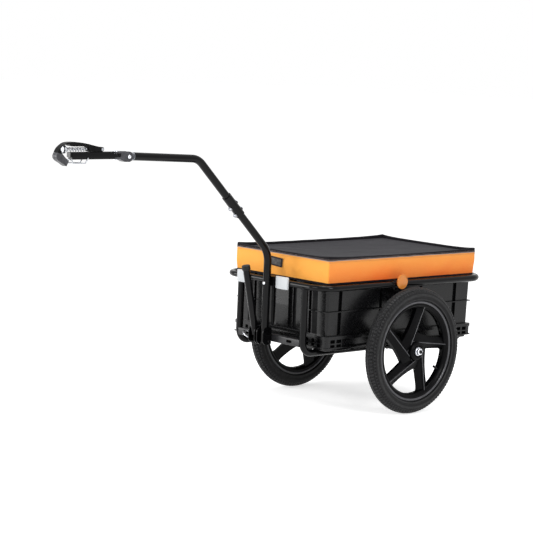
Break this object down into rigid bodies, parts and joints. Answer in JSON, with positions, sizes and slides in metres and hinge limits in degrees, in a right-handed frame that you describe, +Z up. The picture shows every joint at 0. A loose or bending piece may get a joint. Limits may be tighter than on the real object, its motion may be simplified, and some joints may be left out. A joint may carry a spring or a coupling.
{
  "type": "bike cargo trailer",
  "caption": "Two-wheeled bicycle cargo trailer with a tube frame, lidded plastic tub, cranked drawbar, swivel hitch and folding kickstand.",
  "frame": {"origin": "middle of the trailer's outline on the ground it stands on", "axes": "+Z up, -Y forward towards the hitch, +X the trailer's left side"},
  "size_m": [0.6026, 1.5814, 0.8408],
  "materials": {
    "frame_paint": "satin black powder coat",
    "tub_plastic": "fine matt moulded polypropylene",
    "rim_plastic": "satin moulded nylon",
    "tyre_rubber": "matt tread rubber",
    "soft_rubber": "smooth rubber",
    "bright_chrome": "polished",
    "zinc_steel": "zinc plated",
    "orange_cloth": "coated woven polyester",
    "grey_cloth": "woven polyester",
    "black_cloth": "webbing and elastic",
    "pale_tape": "reflective tape",
    "white_lens": "prismatic reflector",
    "amber_lens": "prismatic reflector",
    "hitch_plastic": "satin black moulding"
  },
  "bodies": {
    "frame": {"front_rail": "frame_paint", "rear_rail": "frame_paint", "left_side_loop": "frame_paint", "right_side_loop": "frame_paint", "front_cross_bar": "frame_paint", "rear_cross_bar": "frame_paint", "axle_cross_tube": "frame_paint", "left_axle_stub": "frame_paint", "right_axle_stub": "frame_paint", "lower_drawbar": "frame_paint", "upper_drawbar": "frame_paint", "drawbar_sleeve": "frame_paint", "front_bracket": "frame_paint", "kickstand_bolt": "frame_paint", "upper_clamp_block": "hitch_plastic", "upper_clamp_bolt": "bright_chrome", "left_rail_bolt": "zinc_steel", "right_rail_bolt": "zinc_steel", "left_axle_bolt": "zinc_steel", "right_axle_bolt": "zinc_steel", "left_axle_nut": "bright_chrome", "right_axle_nut": "bright_chrome", "sleeve_bolt_1": "zinc_steel", "sleeve_bolt_2": "zinc_steel", "drawbar_tongue": "zinc_steel", "front_reflector_1": "white_lens", "front_reflector_2": "white_lens", "left_side_reflector": "amber_lens", "right_side_reflector": "amber_lens"},
    "left_wheel": {"left_tyre": "tyre_rubber", "left_inner_tube": "soft_rubber", "left_rim": "rim_plastic", "left_valve": "soft_rubber", "left_inner_bearing": "zinc_steel", "left_outer_bearing": "zinc_steel"},
    "right_wheel": {"right_tyre": "tyre_rubber", "right_inner_tube": "soft_rubber", "right_rim": "rim_plastic", "right_valve": "soft_rubber", "right_inner_bearing": "zinc_steel", "right_outer_bearing": "zinc_steel"},
    "tub": {"tub": "tub_plastic"},
    "cover": {"cover_panel": "grey_cloth", "cover_skirt": "orange_cloth", "cover_rim_band": "black_cloth", "cover_piping": "pale_tape", "cover_hem": "black_cloth"},
    "kickstand": {"kickstand_leg": "frame_paint", "kickstand_foot": "soft_rubber"},
    "lynch_pin": {"lynch_pin": "bright_chrome"},
    "pull_ring": {"lynch_pin_ring": "bright_chrome"},
    "hitch_pitch": {"swivel_block": "hitch_plastic", "pitch_pin": "bright_chrome", "yaw_pin": "bright_chrome"},
    "hitch_yaw": {"coupling_arm": "frame_paint", "jaw_pin": "zinc_steel"},
    "jaw": {"jaw": "hitch_plastic", "clamp_spring": "zinc_steel"},
    "clamp_screw": {"clamp_screw": "bright_chrome"},
    "safety_bail": {"safety_bail": "bright_chrome"}
  },
  "joints": [
    {"name": "left_wheel_spin", "type": "hinge", "parent": "frame", "child": "left_wheel", "pos_m": [0.263, 0.42227, 0.2], "axis": [1, 0, 0], "continuous": true},
    {"name": "right_wheel_spin", "type": "hinge", "parent": "frame", "child": "right_wheel", "pos_m": [-0.263, 0.42227, 0.2], "axis": [1, 0, 0], "continuous": true},
    {"name": "tub_lift", "type": "slide", "parent": "frame", "child": "tub", "axis": [0, 0, 1], "range_m": [0, 0.3]},
    {"name": "cover_lift", "type": "slide", "parent": "tub", "child": "cover", "axis": [0, 0, 1], "range_m": [0, 0.2]},
    {"name": "kickstand_fold", "type": "hinge", "parent": "frame", "child": "kickstand", "pos_m": [-0.038, 0.02567, 0.247], "axis": [1, 0, 0], "range_deg": [0, 142]},
    {"name": "lynch_pin_pull", "type": "slide", "parent": "frame", "child": "lynch_pin", "axis": [-1, 0, 0], "range_m": [0, 0.045]},
    {"name": "pull_ring_flip", "type": "hinge", "parent": "lynch_pin", "child": "pull_ring", "pos_m": [-0.0585, 0.03167, 0.223], "axis": [0, 1, 0], "range_deg": [-70, 60]},
    {"name": "hitch_pitch", "type": "hinge", "parent": "frame", "child": "hitch_pitch", "pos_m": [0, -0.53573, 0.798], "axis": [1, 0, 0], "range_deg": [-30, 30]},
    {"name": "hitch_yaw", "type": "hinge", "parent": "hitch_pitch", "child": "hitch_yaw", "pos_m": [0, -0.57573, 0.802], "axis": [0, 0, 1], "range_deg": [-45, 45]},
    {"name": "jaw_open", "type": "hinge", "parent": "hitch_yaw", "child": "jaw", "pos_m": [0, -0.63173, 0.8198], "axis": [-1, 0, 0], "range_deg": [0, 50]},
    {"name": "clamp_screw_turn", "type": "hinge", "parent": "jaw", "child": "clamp_screw", "pos_m": [0, -0.74773, 0.8198], "axis": [0, 1, 0], "continuous": true},
    {"name": "safety_bail_swing", "type": "hinge", "parent": "hitch_yaw", "child": "safety_bail", "pos_m": [0, -0.68173, 0.7955], "axis": [1, 0, 0], "range_deg": [0, 90]}
  ]
}
